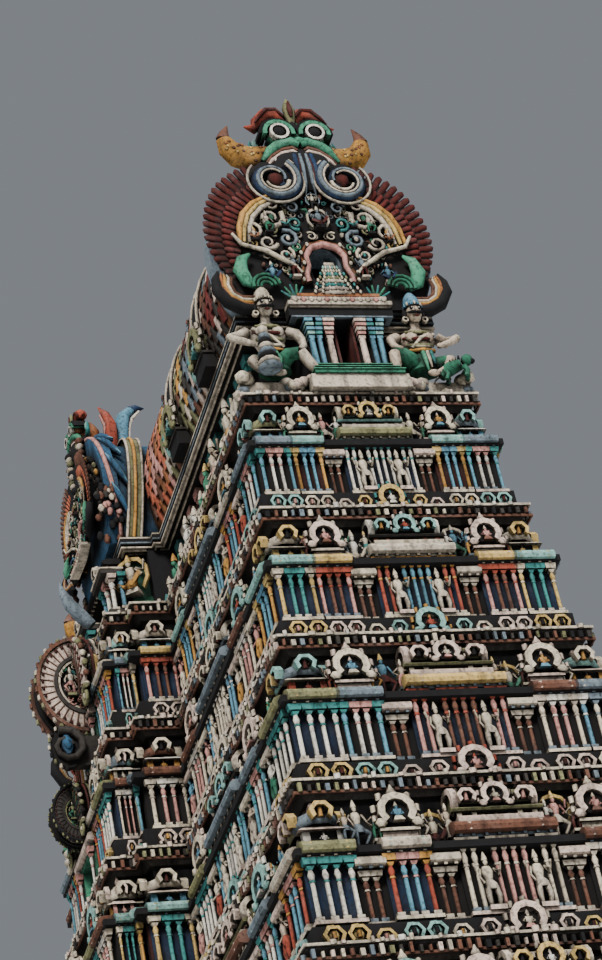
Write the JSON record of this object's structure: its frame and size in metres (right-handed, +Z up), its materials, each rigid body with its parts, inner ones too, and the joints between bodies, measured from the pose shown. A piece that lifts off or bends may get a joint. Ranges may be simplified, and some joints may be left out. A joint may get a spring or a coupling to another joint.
{
  "type": "temple gateway tower, 1:2 scale model",
  "caption": "Tapering storeyed gateway tower with a through passage, pillared and corniced tiers, a barrel-vaulted crown, horseshoe gables and horned lion faces.",
  "frame": {"origin": "on the ground under the middle of the tower", "axes": "+Z up; X across the narrow width and along the passage; Y along the long side"},
  "size_m": [9.94, 17.94, 24.5028],
  "materials": {
    "stone": "dressed granite, weathered",
    "plaster": "painted lime plaster, weathered",
    "cornice": "painted lime plaster, weathered",
    "eave": "painted lime plaster, weathered",
    "vault": "painted scale-patterned plaster",
    "finial": "painted plaster, ochre",
    "gable": "painted plaster, dark red",
    "dormer": "painted ribbed plaster, blue",
    "crest": "painted plaster, green",
    "guardian": "painted plaster, cream",
    "arch": "painted ribbed plaster, pink"
  },
  "bodies": {
    "root": {"plinth": "stone", "stone_south_wall": "stone", "stone_north_wall": "stone", "west_gate_lintel": "stone", "east_gate_lintel": "stone", "stone_ceiling": "stone", "tier_7_south_wall": "plaster", "tier_7_north_wall": "plaster", "tier_7_cornice": "cornice", "tier_6_south_wall": "plaster", "tier_6_north_wall": "plaster", "tier_6_cornice": "cornice", "tier_5_south_wall": "plaster", "tier_5_north_wall": "plaster", "tier_5_cornice": "cornice", "tier_4_south_wall": "plaster", "tier_4_north_wall": "plaster", "tier_4_cornice": "cornice", "tier_3_south_wall": "plaster", "tier_3_north_wall": "plaster", "tier_3_cornice": "cornice", "tier_2_south_wall": "plaster", "tier_2_north_wall": "plaster", "tier_2_cornice": "cornice", "tier_1_south_wall": "plaster", "tier_1_north_wall": "plaster", "tier_1_cornice": "cornice", "neck_south_wall": "plaster", "neck_north_wall": "plaster", "eave": "eave", "vault": "vault", "ridge": "finial", "south_gable": "gable", "north_gable": "gable", "west_dormer_vault": "dormer", "east_dormer_vault": "dormer", "west_dormer_gable": "gable", "east_dormer_gable": "gable", "south_lion_face": "crest", "north_lion_face": "crest", "west_lion_face": "crest", "east_lion_face": "crest", "south_left_guardian": "guardian", "south_right_guardian": "guardian", "north_left_guardian": "guardian", "north_right_guardian": "guardian", "west_arch_1": "arch", "west_arch_2": "arch", "east_arch_1": "arch", "east_arch_2": "arch"}
  },
  "joints": []
}
